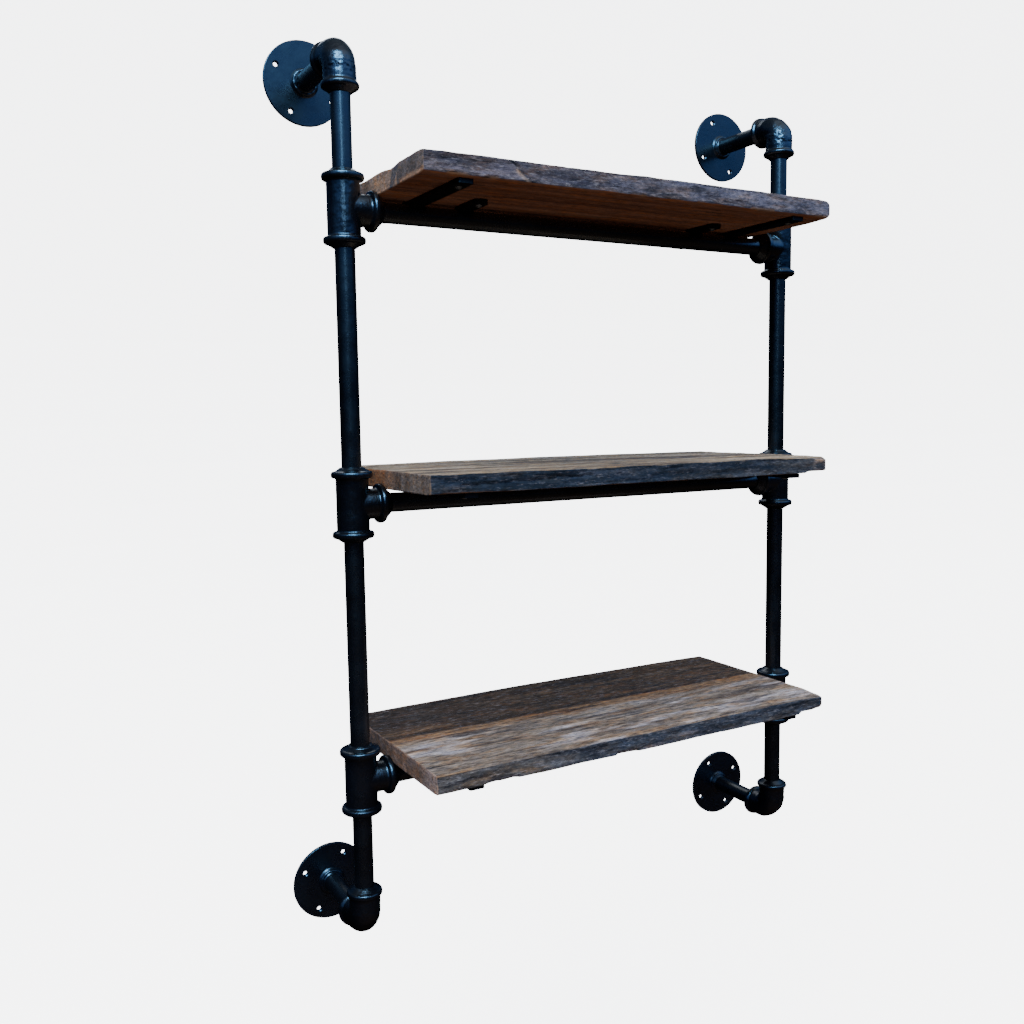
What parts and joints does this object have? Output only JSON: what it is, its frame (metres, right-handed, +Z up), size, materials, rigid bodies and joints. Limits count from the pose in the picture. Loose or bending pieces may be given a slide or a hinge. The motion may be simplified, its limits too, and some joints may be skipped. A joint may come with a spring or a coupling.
{
  "type": "wall shelf",
  "caption": "Industrial wall shelf: black pipe uprights on round wall flanges, tees and rails carrying reclaimed glued-board shelves on flat bar brackets.",
  "frame": {"origin": "on the wall plane, midway between the centres of the four wall flanges", "axes": "+X along the shelves to the right seen from the front, +Y into the wall, +Z up; the shelf stands out from the wall towards -Y"},
  "size_m": [0.886, 0.305, 1.291],
  "materials": {
    "black_pipe": "semi-gloss black paint on drawn steel pipe",
    "black_malleable_iron": "semi-gloss black paint on lumpy cast fittings",
    "black_flange": "satin black paint on flat steel plate",
    "black_flat_bar": "satin black paint on mill-finish bar",
    "screw_steel": "blackened steel",
    "reclaimed_wood_top": "weathered grey edges, planed red-brown underside, matt",
    "reclaimed_wood_middle": "weathered tan-brown board, matt",
    "reclaimed_wood_bottom": "dark rear board and grey-brown front board, matt"
  },
  "bodies": {
    "root": {"elbow_bushes_lower_left": "black_malleable_iron", "elbow_bushes_lower_right": "black_malleable_iron", "elbow_bushes_upper_left": "black_malleable_iron", "elbow_bushes_upper_right": "black_malleable_iron", "elbow_lower_left": "black_malleable_iron", "elbow_lower_right": "black_malleable_iron", "elbow_upper_left": "black_malleable_iron", "elbow_upper_right": "black_malleable_iron", "rail_pipe_bottom": "black_pipe", "rail_pipe_middle": "black_pipe", "rail_pipe_top": "black_pipe", "shelf_arm_bottom_left": "black_flat_bar", "shelf_arm_bottom_right": "black_flat_bar", "shelf_arm_middle_left": "black_flat_bar", "shelf_arm_middle_right": "black_flat_bar", "shelf_arm_top_left": "black_flat_bar", "shelf_arm_top_right": "black_flat_bar", "shelf_board_bottom_front": "reclaimed_wood_bottom", "shelf_board_bottom_rear": "reclaimed_wood_bottom", "shelf_board_middle_front": "reclaimed_wood_middle", "shelf_board_middle_rear": "reclaimed_wood_middle", "shelf_board_top_front": "reclaimed_wood_top", "shelf_board_top_rear": "reclaimed_wood_top", "shelf_lug_bottom_left": "black_flat_bar", "shelf_lug_bottom_right": "black_flat_bar", "shelf_lug_middle_left": "black_flat_bar", "shelf_lug_middle_right": "black_flat_bar", "shelf_lug_top_left": "black_flat_bar", "shelf_lug_top_right": "black_flat_bar", "stand_off_pipe_lower_left": "black_pipe", "stand_off_pipe_lower_right": "black_pipe", "stand_off_pipe_upper_left": "black_pipe", "stand_off_pipe_upper_right": "black_pipe", "tee_bottom_left": "black_malleable_iron", "tee_bottom_right": "black_malleable_iron", "tee_bushes_bottom_left": "black_malleable_iron", "tee_bushes_bottom_right": "black_malleable_iron", "tee_bushes_middle_left": "black_malleable_iron", "tee_bushes_middle_right": "black_malleable_iron", "tee_bushes_top_left": "black_malleable_iron", "tee_bushes_top_right": "black_malleable_iron", "tee_middle_left": "black_malleable_iron", "tee_middle_right": "black_malleable_iron", "tee_top_left": "black_malleable_iron", "tee_top_right": "black_malleable_iron", "upright_pipe_bottom_left": "black_pipe", "upright_pipe_bottom_right": "black_pipe", "upright_pipe_lower_left": "black_pipe", "upright_pipe_lower_right": "black_pipe", "upright_pipe_top_left": "black_pipe", "upright_pipe_top_right": "black_pipe", "upright_pipe_upper_left": "black_pipe", "upright_pipe_upper_right": "black_pipe", "wall_flange_lower_left": "black_flange", "wall_flange_lower_right": "black_flange", "wall_flange_upper_left": "black_flange", "wall_flange_upper_right": "black_flange", "wood_screws_bottom": "screw_steel", "wood_screws_middle": "screw_steel", "wood_screws_top": "screw_steel"}
  },
  "joints": []
}
